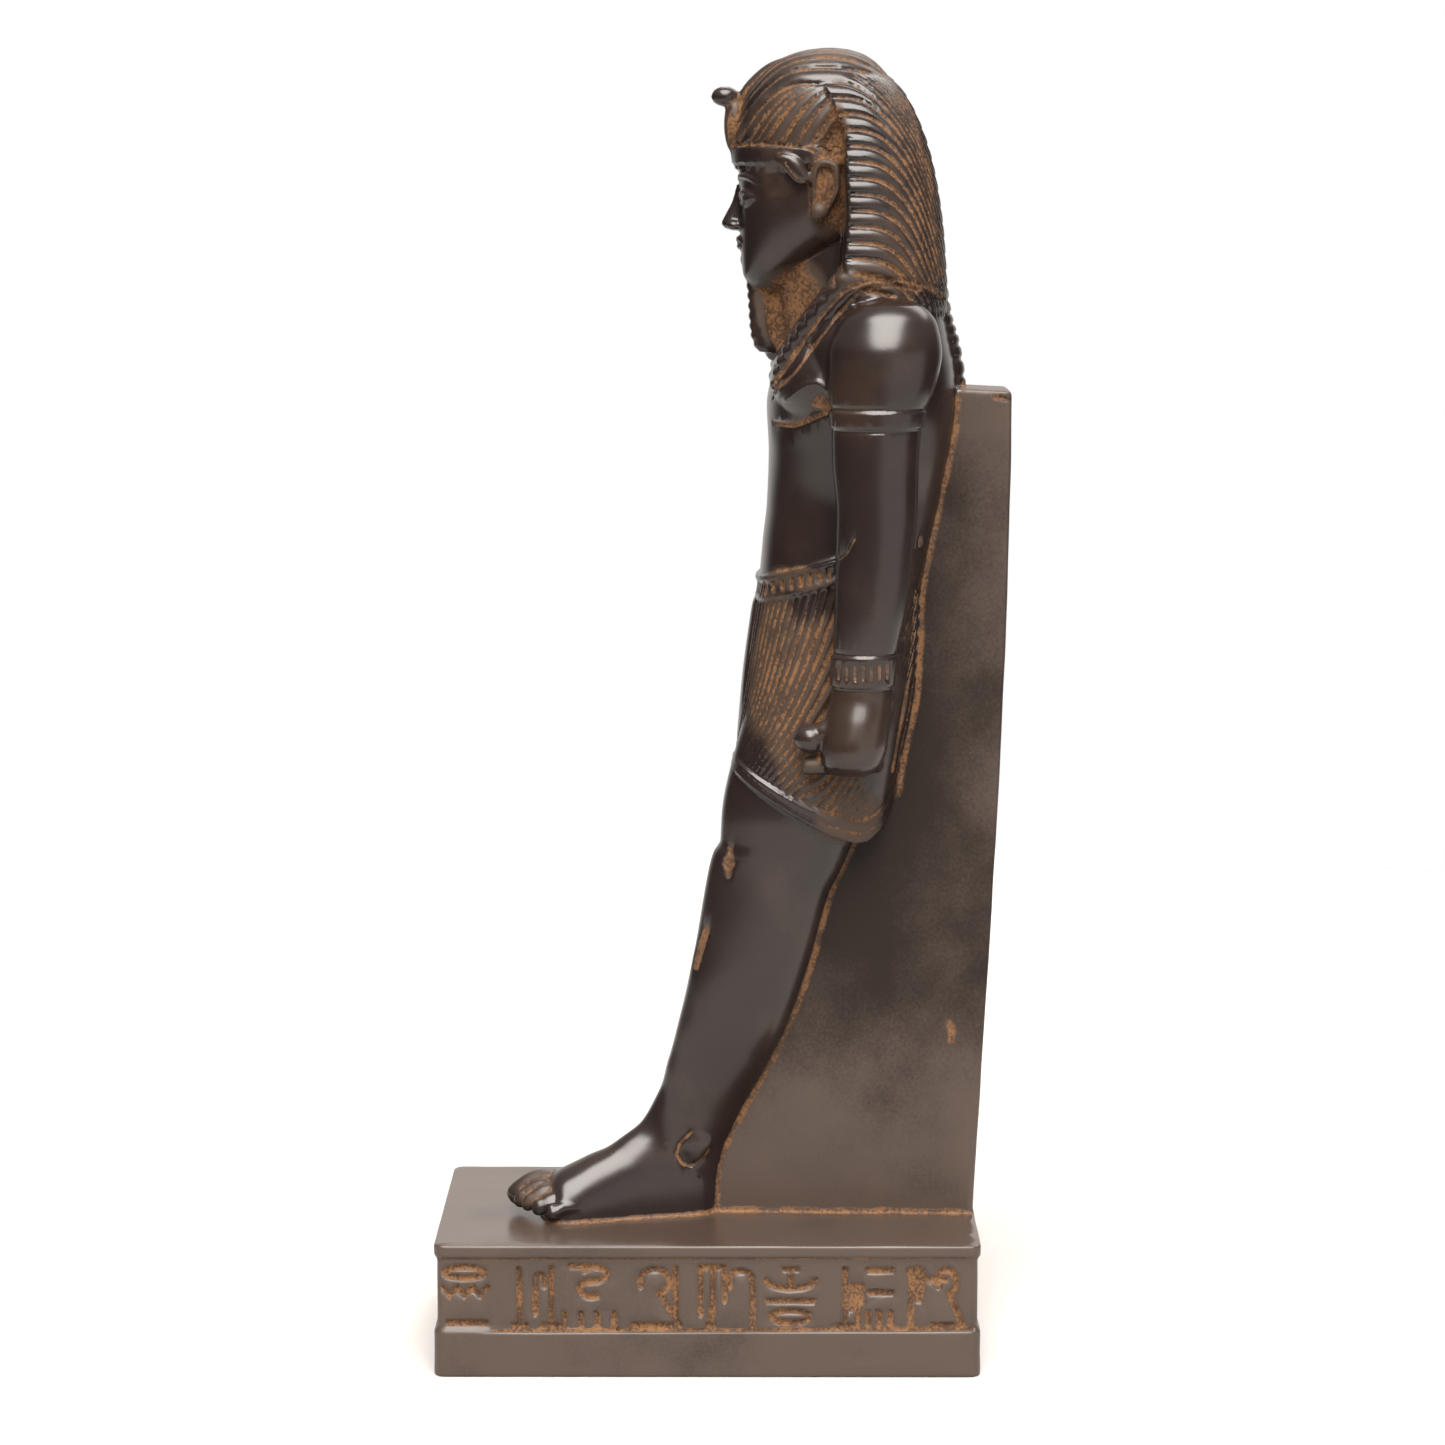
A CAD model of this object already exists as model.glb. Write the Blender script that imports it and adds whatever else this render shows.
import math

import bmesh
import bpy
import numpy as np
from mathutils import Euler, Matrix, Vector


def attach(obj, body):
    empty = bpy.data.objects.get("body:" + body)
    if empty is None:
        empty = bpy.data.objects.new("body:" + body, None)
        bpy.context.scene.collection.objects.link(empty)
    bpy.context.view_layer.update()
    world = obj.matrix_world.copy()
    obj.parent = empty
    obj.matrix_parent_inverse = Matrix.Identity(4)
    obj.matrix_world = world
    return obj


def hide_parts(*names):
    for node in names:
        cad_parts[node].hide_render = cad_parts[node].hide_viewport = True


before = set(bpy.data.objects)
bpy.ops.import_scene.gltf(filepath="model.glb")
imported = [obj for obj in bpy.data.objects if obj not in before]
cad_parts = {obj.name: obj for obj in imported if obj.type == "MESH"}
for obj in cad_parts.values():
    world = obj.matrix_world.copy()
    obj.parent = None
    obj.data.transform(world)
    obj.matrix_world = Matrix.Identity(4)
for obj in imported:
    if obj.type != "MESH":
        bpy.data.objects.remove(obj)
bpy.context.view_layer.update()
print("frame loaded")

# Shapes are worked out in millimetres above the soles, and made metres above the ground at the end
mm = 0.001
plinthTop = 25.8

skin = {
    "grain": 0.30,  # spacing of the surface's points
    "smoothing": 2,
    "triangles": 192000,
    "cavityRounds": 34,  # how far the patina spreads out of a crease
}


def smoothTable(x, knots, values):
    # a monotone cubic through the values at the knots
    knots, values = np.asarray(knots, float), np.asarray(values, float)
    if knots[0] > knots[-1]:
        knots, values = knots[::-1], values[::-1]
    gap = np.diff(knots)
    slope = np.diff(values) / gap
    lean = np.concatenate([slope[:1], np.zeros(len(slope) - 1), slope[-1:]])
    same = slope[:-1] * slope[1:] > 0
    lean[1:-1][same] = 2 * slope[:-1][same] * slope[1:][same] / (slope[:-1] + slope[1:])[same]
    x = np.clip(x, knots[0], knots[-1])
    i = np.clip(np.searchsorted(knots, x) - 1, 0, len(gap) - 1)
    t = (x - knots[i]) / gap[i]
    a = values[i] * (1 + 2 * t) * (1 - t) ** 2 + values[i + 1] * t * t * (3 - 2 * t)
    return a + gap[i] * (lean[i] * t * (1 - t) ** 2 - lean[i + 1] * t * t * (1 - t))


def signedPower(value, power):
    return np.sign(value) * np.abs(value) ** power


def grooves(phase, pitch, width):
    # 1 in the middle of each groove, which lies wherever the phase is a whole number
    off = np.abs(phase - np.round(phase)) * pitch
    return 0.5 + 0.5 * np.cos(np.pi * np.clip(off / width, 0, 1))


def crown(phase):
    # round ridges between the grooves
    return 1 - (1 - 2 * np.abs(phase - np.round(phase))) ** 2


def step(value, low, high):
    t = np.clip((value - low) / (high - low), 0, 1)
    return t * t * (3 - 2 * t)


def meshObject(name, bm):
    bmesh.ops.recalc_face_normals(bm, faces=bm.faces)
    mesh = bpy.data.meshes.new(name)
    bm.to_mesh(mesh)
    bm.free()
    made = bpy.data.objects.new(name, mesh)
    bpy.context.scene.collection.objects.link(made)
    return made


def gathered(items, name, width, kind=float):
    # one row for each point or edge of a mesh
    values = np.empty(width * len(items), dtype=kind)
    items.foreach_get(name, values)
    return values.reshape(-1, width)


def tube(name, sides, rows, place):
    # a capped tube of rings, whose points go where place(turn, height) says; turn 0 is the front
    bm = bmesh.new()
    bmesh.ops.create_cone(bm, cap_ends=True, segments=sides, radius1=1, radius2=1, depth=1)
    uprights = [e for e in bm.edges if abs(e.verts[0].co.z - e.verts[1].co.z) > 0.5]
    bmesh.ops.subdivide_edges(bm, edges=uprights, cuts=rows, use_grid_fill=True)
    made = meshObject(name, bm)
    co = gathered(made.data.vertices, "co", 3)
    moved = place(np.arctan2(co[:, 1], co[:, 0]), np.clip(co[:, 2] + 0.5, 0, 1))
    made.data.vertices.foreach_set("co", moved.ravel())
    made.data.update()
    return made


def levels(name, table, sides=96, rows=80, square=1.0, tilt=None, relief=None, mirror=False):
    # level sections: each row of the table is height, front, back, inner and outer edge
    table = np.array(table, float)
    side = -1 if mirror else 1

    def place(turn, height):
        z = table[0, 0] + height * (table[-1, 0] - table[0, 0])
        front, back, inner, outer = (smoothTable(z, table[:, 0], table[:, k]) for k in range(1, 5))
        across = signedPower(np.sin(turn), square)
        along = -signedPower(np.cos(turn), square)
        x = (inner + outer) / 2 + (outer - inner) / 2 * across
        y = (front + back) / 2 + (back - front) / 2 * along
        if relief is not None:
            lift = relief(x, y, z)
            x, y = x + lift * across, y + lift * along
        if tilt is not None:
            z = z + smoothTable(z, table[:, 0], tilt) * (y - (front + back) / 2)
        return np.stack([side * x, y, z], axis=1)

    return tube(name, sides, rows, place)


def strand(name, path, across, widths, depths, sides=32, rows=50, relief=None, blunt=3.0, square=1.0,
           mirror=False):
    # a rod along a path, as wide as widths in the direction across and as thick as depths
    path, across = np.array(path, float), np.array(across, float)
    knots = np.linspace(0, 1, len(path))
    side = -1 if mirror else 1

    def point(height):
        return np.stack([smoothTable(height, knots, path[:, k]) for k in range(3)], axis=1)

    def place(turn, height):
        run = point(np.minimum(height + 0.02, 1)) - point(np.maximum(height - 0.02, 0))
        run /= np.linalg.norm(run, axis=1)[:, None]
        out = np.cross(run, across)
        out /= np.linalg.norm(out, axis=1)[:, None]
        over = np.cross(out, run)
        close = np.maximum(1 - np.abs(2 * height - 1) ** blunt, 0.02) ** 0.5
        lift = 0 if relief is None else relief(turn, height)
        wide = (smoothTable(height, knots, widths) * close + lift) * signedPower(np.sin(turn), square)
        deep = (smoothTable(height, knots, depths) * close + lift) * signedPower(np.cos(turn), square)
        return (point(height) + over * wide[:, None] + out * deep[:, None]) * [side, 1, 1]

    return tube(name, sides, rows, place)


def ball(name, centre, radii, turn=(0, 0, 0), mirror=False):
    bm = bmesh.new()
    bmesh.ops.create_uvsphere(bm, u_segments=48, v_segments=32, radius=1)
    turned = Euler([math.radians(t) for t in turn]).to_matrix().to_4x4()
    bmesh.ops.transform(bm, verts=bm.verts, matrix=turned @ Matrix.Diagonal((*radii, 1)))
    bmesh.ops.translate(bm, verts=bm.verts, vec=Vector(centre))
    if mirror:
        bmesh.ops.scale(bm, verts=bm.verts, vec=(-1, 1, 1))
    return meshObject(name, bm)


body = {
    "torso": [
        (116, 10.4, 40.0, -17.0, 17.0),
        (124, 9.9, 41.6, -17.0, 17.0),
        (131, 10.4, 43.0, -16.4, 16.4),
        (138, 11.2, 44.6, -16.6, 16.6),
        (148, 11.6, 46.4, -18.6, 18.6),
        (157, 11.2, 47.4, -20.8, 20.8),
        (164, 12.6, 47.0, -21.8, 21.8),
        (169, 15.4, 46.0, -21.6, 21.6),
        (173, 18.0, 45.2, -20.0, 20.0),
        (176.5, 21.0, 44.2, -17.0, 17.0),
        (180, 23.0, 43.0, -12.0, 12.0),
        (184, 24.0, 40.0, -7.5, 7.5),
    ],
    "neck": [
        (164, 15.5, 36.0, -9.0, 9.0),
        (172, 14.2, 34.0, -7.6, 7.6),
        (180, 13.2, 33.0, -7.2, 7.2),
        (192, 12.5, 33.0, -7.2, 7.2),
    ],
    "breast": ((8.6, 21.0, 162.4), (13.0, 8.9, 10.4), (0, 0, 8)),
    "shoulder": ((15.0, 27.0, 167.0), (8.6, 8.4, 10.4), (0, 0, 10)),
}


def torsoAndNeck():
    made = [levels("torso", body["torso"], sides=160, rows=160, square=0.86), levels("neck", body["neck"])]
    for mirror in (False, True):
        made.append(ball("breast", *body["breast"], mirror))
        made.append(ball("shoulder", *body["shoulder"], mirror))
    return made


arms = {
    "limb": [
        (178.0, 31.5, 36.0, 15.5, 21.0),
        (176.6, 27.0, 40.2, 13.0, 25.2),
        (173.0, 23.9, 42.8, 12.0, 28.0),
        (168.0, 22.3, 43.6, 12.5, 29.8),
        (162.0, 22.3, 42.4, 14.5, 30.2),
        (156.0, 22.9, 40.2, 15.8, 29.9),
        (148.0, 23.1, 39.4, 16.4, 29.6),
        (138.0, 23.9, 39.2, 16.8, 29.5),
        (130.0, 23.8, 38.4, 17.0, 29.3),
        (120.0, 23.6, 37.2, 17.4, 28.9),
        (112.0, 23.4, 35.5, 17.8, 28.1),
        (105.0, 23.2, 34.8, 17.8, 27.3),
        (99.0, 22.0, 34.3, 16.6, 28.9),
        (94.6, 21.2, 33.9, 16.0, 29.7),
        (91.8, 21.2, 33.1, 16.6, 29.2),
        (89.8, 22.2, 31.8, 18.0, 27.4),
        (88.9, 24.0, 30.2, 20.0, 25.2),
    ],
    "bands": ((153.9, 157.8), (105.6, 112.2)),  # the armlet and the bracelet
    "bandLift": 0.35,
    "lineDepth": 0.55,
    "lineWidth": 0.6,
    "thumb": [(23.4, 24.6, 98.4), (23.4, 22.4, 97.6), (23.4, 20.0, 96.4)],
    "thumbTip": ((23.4, 19.3, 96.0), (2.9, 3.1, 2.8)),
    "rod": [(22.6, 27.0, 91.0), (22.6, 22.0, 90.8), (22.6, 17.6, 90.6)],
    "rodRadius": 1.9,
    "fingers": (22.6, 3.0),  # place of the first finger and the distance to the next
    "curl": [(25.0, 92.0), (21.6, 90.9), (17.8, 92.0), (16.0, 95.4)],
}


def armRelief(x, y, z):
    lift = np.zeros_like(z)
    for low, high in arms["bands"]:
        inside = step(z, low - 0.2, low + 0.2) * step(z, high + 0.2, high - 0.2)
        edge = np.clip(np.minimum(np.abs(z - low), np.abs(z - high)) / arms["lineWidth"], 0, 1)
        lift += arms["bandLift"] * inside - arms["lineDepth"] * (0.5 + 0.5 * np.cos(np.pi * edge))
    return lift


def arm(mirror):
    made = [
        levels("arm", arms["limb"], sides=200, rows=400, square=0.92, relief=armRelief, mirror=mirror),
        strand("thumb", arms["thumb"], (1, 0, 0.2), (2.5, 2.5, 2.6), (2.0, 2.1, 2.3), mirror=mirror),
        ball("thumbTip", *arms["thumbTip"], mirror=mirror),
        strand("rod", arms["rod"], (1, 0, 0), (arms["rodRadius"],) * 3, (arms["rodRadius"],) * 3, blunt=9,
               mirror=mirror),
    ]
    first, pitch = arms["fingers"]
    for finger in range(4):
        curl = [(x, first + pitch * finger, z) for x, z in arms["curl"]]
        made.append(strand("finger", curl, (0, 1, 0), (1.7,) * 4, (1.8,) * 4, mirror=mirror))
    return made


dress = {
    "part": (0.0, 0.25, 0.5, 0.75, 1.0),
    "front": (9.6, 8.3, 7.3, 6.3, 5.5),
    "back": (41.6, 41.4, 41.0, 39.6, 37.4),
    "half": (17.3, 18.0, 18.6, 18.6, 17.8),
    "stride": (0.0, 0.02, 0.06, 0.12, 0.18),
    "hemY": (3.5, 10.0, 17.6, 25.0, 29.5, 33.0, 35.6, 37.0),
    "hemZ": (89.4, 84.2, 79.2, 75.6, 74.5, 76.2, 80.8, 86.0),
    # height of the top edge, its climb towards the back, and the place from front to back it is given for
    "top": (127.0, 0.32, 25.6),
    "pleats": 54,
    "pleatPitch": 1.5,
    "pleatWidth": 0.62,
    "pleatDepth": 0.62,
    "gather": 0.42,  # how much closer the pleats lie at the hem
    "hemBorder": 0.088,
    "rearBorder": 33.0,  # where the plain strip at the back of the hem starts
    "middle": 25.7,  # the belt's middle from front to back
    "beltHalves": (17.3, 16.0),
    "beltFoot": 124.9,
    "beltHeight": 4.7,
    "beltRise": 0.3,  # climb of the belt towards the back
    "apron": [(0.0, 9.6, 120.6), (0.0, 8.2, 111.0), (0.6, 7.0, 101.0), (1.2, 6.2, 90.6)],
    "apronWidths": (2.4, 3.2, 4.2, 5.0),
}


def kilt():
    def place(turn, height):
        down = 1 - height
        near, far, wide = (smoothTable(down, dress["part"], dress[k]) for k in ("front", "back", "half"))
        square = 0.9 - 0.2 * down
        across, along = signedPower(np.sin(turn), square), -signedPower(np.cos(turn), square)
        phase = dress["pleats"] * np.abs(turn) / (2 * np.pi) / (1 - dress["gather"] * down)
        cut = grooves(phase, dress["pleatPitch"], dress["pleatWidth"])
        hem = 1 - dress["hemBorder"]
        plain = np.maximum(step(down, hem - 0.01, hem), step(down, 0.03, 0.02))
        rearLine = dress["rearBorder"] + 3.4 * step(down, 0.75, 0.5)
        yPlain = (near + far) / 2 + (far - near) / 2 * along
        plain = np.maximum(plain, step(yPlain, rearLine - 0.3, rearLine + 0.3) * step(down, 0.5, 0.66))
        edge = np.abs(down - hem)
        middle = np.abs(down - 1 + 0.47 * dress["hemBorder"])
        lift = 0.3 * plain - dress["pleatDepth"] * cut * (1 - plain)
        lift = lift - 0.5 * step(edge, 0.014, 0.004) - 0.35 * step(middle, 0.010, 0.002)
        x = (wide + lift) * across
        y = (near + far) / 2 + ((far - near) / 2 + lift) * along
        y = y - smoothTable(down, dress["part"], dress["stride"]) * x
        top, climb, at = dress["top"]
        belt = top + climb * (y - at)
        z = belt + down * (smoothTable(y, dress["hemY"], dress["hemZ"]) - belt)
        return np.stack([x, y, z], axis=1)

    return tube("kilt", 1100, 190, place)


def beltLevel(y):
    # height of the belt's lower edge
    return dress["beltFoot"] + dress["beltRise"] * (y - dress["middle"])


def beltAndApron():
    def place(turn, height):
        rims = np.maximum(step(height, 0.70, 0.78), step(height, 0.30, 0.22))
        line = grooves(np.where(height > 0.5, height - 0.74, height - 0.26) / 0.3, 1.0, 0.14)
        lift = 0.3 + 0.35 * rims - 0.3 * line
        half, deep = dress["beltHalves"]
        x = (half + lift) * signedPower(np.sin(turn), 0.9)
        y = dress["middle"] - (deep + lift) * signedPower(np.cos(turn), 0.9)
        return np.stack([x, y, beltLevel(y) + dress["beltHeight"] * height], axis=1)

    return [
        tube("belt", 700, 36, place),
        strand("apron", dress["apron"], (1, 0, 0), dress["apronWidths"], (0.9,) * 4, blunt=14),
    ]


legs = {
    "left": [
        (104.0, 9.0, 36.0, 1.0, 16.0),
        (92.0, 5.2, 34.6, 0.4, 17.0),
        (80.0, 2.7, 30.4, 0.2, 17.0),
        (74.0, 2.4, 28.0, 0.4, 16.4),
        (72.0, 1.1, 27.2, 0.4, 16.0),
        (69.0, 0.2, 26.0, 0.2, 15.6),
        (63.0, -0.9, 23.2, -0.4, 15.2),
        (50.6, -3.0, 19.8, -0.8, 14.8),
        (38.0, -5.8, 15.6, -1.0, 13.2),
        (31.7, -7.4, 12.6, -1.2, 11.8),
        (25.4, -9.6, 9.4, -1.6, 10.4),
        (19.0, -12.8, 6.4, -2.0, 9.0),
        (12.0, -14.6, 3.8, -2.2, 8.0),
        (4.0, -14.0, 2.7, -1.6, 7.4),
        (-2.0, -14.0, 2.6, -1.4, 7.2),
    ],
    "right": [
        (104.0, 10.0, 38.0, 1.0, 16.4),
        (92.0, 9.6, 38.0, 1.0, 17.0),
        (80.0, 9.8, 37.4, 1.0, 16.8),
        (72.0, 9.6, 36.6, 1.4, 16.0),
        (66.0, 10.2, 36.2, 1.6, 15.6),
        (50.0, 13.0, 37.4, 1.8, 15.6),
        (36.0, 16.0, 37.2, 2.6, 14.6),
        (25.0, 18.4, 36.4, 3.4, 13.0),
        (16.0, 19.6, 36.4, 3.8, 12.4),
        (6.0, 20.0, 38.4, 3.8, 12.2),
        (-2.0, 20.0, 38.6, 3.8, 12.0),
    ],
    # centre of the ankle's ball, and the heel and toe points
    "leftFoot": ((7.6, -2.4, 14.2), (3.0, -1.6), (8.4, -30.0)),
    "rightFoot": ((11.8, 28.0, 15.0), (8.0, 35.4), (10.6, 6.4)),
    "ankleRadii": (1.1, 3.0, 3.6),
    "footShare": (0.0, 0.1, 0.28, 0.48, 0.66, 0.84, 1.0),
    "footTop": (9.0, 14.2, 18.6, 17.4, 13.1, 10.1, 8.1),
    "footHalf": (3.6, 4.6, 5.2, 5.5, 6.2, 6.9, 7.0),
    "soleDepth": 2.0,
    "footEnds": (2.6, 1.8),  # how far the foot reaches past its heel and toe points
    # place across the foot, reach and radius of each toe
    "toes": ((-4.9, 8.2, 2.4), (-1.6, 7.6, 1.65), (1.3, 6.5, 1.55), (3.9, 5.0, 1.5), (6.1, 2.8, 1.35)),
    "toeHeights": (5.6, 5.5, 3.9, 1.9),
    "outerDrop": (2.8, 6.3),  # how much lower the outermost toe lies, and its place across
}


def leg(side, mirror):
    ankle, heel, toe = legs[side + "Foot"]
    made = [levels(side + "Leg", legs[side], sides=140, rows=200, square=0.94, mirror=mirror)]
    made.append(ball(side + "Ankle", ankle, legs["ankleRadii"], mirror=mirror))
    heel, toe = np.array(heel), np.array(toe)
    run = (toe - heel) / np.linalg.norm(toe - heel)
    over = np.array([-run[1], run[0]])

    def place(turn, height):
        length = np.linalg.norm(toe - heel) + sum(legs["footEnds"])
        close = np.maximum(1 - np.abs(2 * height - 1) ** 16, 0.03) ** 0.5
        wide = smoothTable(height, legs["footShare"], legs["footHalf"]) * close
        tall = smoothTable(height, legs["footShare"], legs["footTop"]) * close
        at = heel[None, :] + run[None, :] * (height * length - legs["footEnds"][0])[:, None]
        at = at + over[None, :] * (wide * np.sin(turn))[:, None]
        z = np.where(np.cos(turn) > 0, tall * np.abs(np.cos(turn)) ** 0.8, legs["soleDepth"] * np.cos(turn))
        return np.stack([-at[:, 0] if mirror else at[:, 0], at[:, 1], z], axis=1)

    made.append(tube(side + "Foot", 120, 140, place))
    for offset, reach, radius in legs["toes"]:
        root = toe + over * offset * 0.92 - run * 5.5
        tip = toe + over * offset + run * (reach - radius * 0.2)
        middle = (root + tip) / 2 + run * 0.6
        most, outermost = legs["outerDrop"]
        drop = most * max(offset / outermost, 0) ** 1.5
        start, knuckle, bend, end = legs["toeHeights"]
        path = [(*root, start - drop), (*middle, knuckle - drop)]
        path += [(*(tip - run * 2.2), bend - drop * 0.6), (*tip, end)]
        wide, deep = (radius,) * 4, (radius * 1.05, radius * 1.1, radius * 1.05, radius * 0.9)
        made.append(strand(side + "Toe", path, (*over, 0), wide, deep, blunt=6, mirror=mirror))
        nail = (*(tip - run * 1.1), 4.1 + 0.25 * radius - drop * 0.4)
        made.append(ball(side + "Nail", nail, (radius * 0.62, radius * 0.75, 0.55), (24, 0, -18), mirror))
    return made


face = {
    "head": [
        (180.6, 11.0, 23.0, -3.6, 3.6),
        (182.6, 8.0, 24.0, -5.5, 5.5),
        (185.0, 6.6, 27.0, -7.5, 7.5),
        (189.0, 6.2, 31.0, -9.4, 9.4),
        (194.0, 6.0, 34.0, -10.7, 10.7),
        (199.0, 5.9, 36.0, -11.2, 11.2),
        (206.0, 5.8, 37.0, -11.4, 11.4),
        (212.0, 8.0, 36.0, -10.0, 10.0),
    ],
    "tilt": (0.42, 0.36, 0.28, 0.14, 0.04, 0, 0, 0),
    "square": 0.84,
    "nose": [
        (198.6, 5.4, 9.0, -0.9, 0.9),
        (195.4, 4.5, 9.0, -1.0, 1.0),
        (192.8, 3.2, 9.0, -1.35, 1.35),
        (191.4, 2.6, 9.0, -1.65, 1.65),
        (190.4, 3.2, 9.0, -1.5, 1.5),
        (189.9, 4.8, 9.0, -1.0, 1.0),
    ],
    "beard": [
        (184.0, 7.0, 11.0, -2.0, 2.0),
        (177.0, 7.5, 11.9, -2.3, 2.3),
        (171.0, 7.9, 12.2, -2.6, 2.6),
        (168.4, 8.6, 13.0, -2.7, 2.7),
        (167.0, 9.4, 13.2, -2.6, 2.6),
    ],
}


def faceFront(x, z):
    # where the plain head's surface lies beside the nose
    table = np.array(face["head"])
    front, back, outer = (float(smoothTable(np.array([z]), table[:, 0], table[:, k])[0]) for k in (1, 2, 4))
    share = min(abs(x) / outer, 1.0) ** (1 / face["square"])
    return (front + back) / 2 - (back - front) / 2 * (1 - share * share) ** (face["square"] / 2)


def onFace(points, lift=0.0):
    return [(x, faceFront(x, z) - lift, z) for x, z in points]


def head():
    def beardRelief(x, y, z):
        # ringed at its front and back edges, and nearly plain on its sides
        edge = step(np.abs(x), 1.9, 0.9)
        return (0.35 * (crown(z / 1.9) - 1) - 0.2 * grooves(z / 1.9, 1.9, 0.4)) * (0.25 + 0.75 * edge)

    lip = [(-3.1, 187.9), (-1.4, 188.5), (0, 188.3), (1.4, 188.5), (3.1, 187.9)]
    made = [
        levels("head", face["head"], sides=160, rows=150, square=face["square"], tilt=face["tilt"]),
        levels("nose", face["nose"], sides=48, rows=50),
        levels("beard", face["beard"], square=0.7, sides=80, rows=110, relief=beardRelief),
        strand("beardWeb", [(0, 12.6, 184.0), (0, 13.0, 175.0), (0, 14.0, 165.0)], (1, 0, 0),
               (1.5, 1.6, 1.8), (3.4, 3.2, 3.0), blunt=12),
        ball("chin", (0, 7.9, 184.6), (2.6, 1.8, 1.8)),
        strand("upperLip", onFace(lip, 0.2), (0, 0, 1), (0.35, 0.62, 0.62, 0.62, 0.35),
               (0.4, 0.75, 0.8, 0.75, 0.4)),
        strand("lowerLip", onFace([(-2.6, 187.4), (0, 187.0), (2.6, 187.4)], 0.1), (0, 0, 1),
               (0.35, 0.75, 0.35), (0.4, 0.85, 0.4)),
    ]
    for mirror in (False, True):
        lid = onFace([(2.1, 195.8), (3.4, 197.1), (5.0, 197.4), (6.6, 196.9), (8.0, 196.0)], 0.2)
        under = onFace([(2.3, 195.6), (3.8, 194.9), (5.4, 194.8), (7.2, 195.6)], 0.1)
        brow = onFace([(1.6, 199.3), (3.6, 200.3), (6.0, 200.2), (8.2, 198.9)], 0.2)
        rim = [(12.5, 20.3, 196.8), (12.8, 19.9, 200.4), (13.0, 21.6, 202.9), (13.3, 23.9, 202.0),
               (13.2, 24.2, 198.4), (12.6, 22.8, 194.4)]
        made += [
            ball("eye", (4.9, faceFront(4.9, 196.1) + 0.6, 196.1), (2.6, 1.2, 1.2), (0, 0, 18), mirror),
            strand("upperLid", lid, (0, 0, 1), (0.34,) * 5, (0.42,) * 5, mirror=mirror),
            strand("lowerLid", under, (0, 0, 1), (0.28,) * 4, (0.34,) * 4, mirror=mirror),
            strand("brow", brow, (0, 0, 1), (0.4, 0.5, 0.5, 0.3), (0.45,) * 4, mirror=mirror),
            ball("nostril", (1.5, 5.0, 191.0), (0.95, 1.5, 0.95), mirror=mirror),
            ball("ear", (11.6, 22.0, 198.2), (1.1, 2.7, 5.4), (-8, 0, 8), mirror),
            ball("lobe", (12.2, 20.9, 193.8), (1.6, 1.9, 1.7), mirror=mirror),
            ball("tragus", (12.2, 20.0, 197.2), (0.9, 0.8, 1.2), mirror=mirror),
            strand("earRim", rim, (1, 0, 0), (0.95,) * 6, (0.72,) * 6, mirror=mirror),
            strand("innerEar", [(12.4, 21.4, 200.8), (12.6, 22.7, 200.2), (12.4, 22.5, 197.2)], (1, 0, 0),
                   (0.6,) * 3, (0.42,) * 3, mirror=mirror),
        ]
    return made


cloth = {
    "cap": [
        (201.4, 5.0, 38.0, -12.6, 12.6),
        (205.4, 4.7, 39.0, -13.0, 13.0),
        (210.0, 5.2, 38.4, -13.0, 13.0),
        (214.0, 6.4, 37.2, -12.4, 12.4),
        (218.0, 8.8, 35.0, -10.8, 10.8),
        (221.0, 11.6, 32.4, -8.4, 8.4),
        (222.8, 15.0, 29.9, -6.2, 6.2),
        (223.8, 18.4, 27.0, -3.8, 3.8),
        (224.2, 21.4, 24.2, -1.0, 1.0),
    ],
    # where the stripes leave the brow band
    "stripeStarts": (4.5, 6.8, 8.3, 9.9, 13.0, 15.8, 18.9, 22.0, 25.0),
    "crestStripes": 5,
    "stripePitch": 2.7,
    "bandTop": 205.0,
    "arch": (4.5, 13.0, 12.0),  # front, reach and rise of the stripes' curve over the temple
    "heights": (174.0, 178.0, 183.0, 188.0, 194.0, 200.0, 206.0, 213.0, 218.4, 220.0),
    "edge": (27.4, 26.6, 25.8, 26.2, 26.6, 26.4, 25.8, 24.2, 22.0, 23.4),
    "rear": (45.4, 45.7, 45.4, 45.0, 44.3, 43.3, 41.8, 38.9, 35.0, 31.6),
    "half": (19.0, 20.8, 21.4, 20.9, 19.9, 18.6, 16.8, 13.9, 10.4, 7.0),
    "firstRidge": 176.4,
    "pitch": 2.95,
    "grooveDepth": 0.7,
    "grooveWidth": 0.7,
    "droop": 30.0,  # how far the ridges hang down in the middle of the back
    "hang": 3.6,
    "brown": 0.64,  # how strongly the brown lies between the ridges
    "band": [(202.6, 4.5, 38.0, -12.8, 12.8), (205.8, 4.2, 39.0, -13.3, 13.3)],
    "tail": [(0, 43.2, 182.0), (0, 44.4, 174.0), (0, 45.8, 168.0), (0, 47.4, 159.0)],
    "temple": [(12.0, 12.6, 203.8), (12.5, 15.6, 202.4), (12.7, 17.6, 200.4), (12.7, 19.4, 199.8)],
    "lappet": [(16.6, 29.6, 184.0), (15.2, 25.6, 179.6), (13.4, 21.2, 174.6), (11.6, 17.4, 169.6),
               (10.4, 14.6, 164.8), (9.8, 13.2, 159.4)],
    "lappetPitch": 2.9,
}


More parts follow.
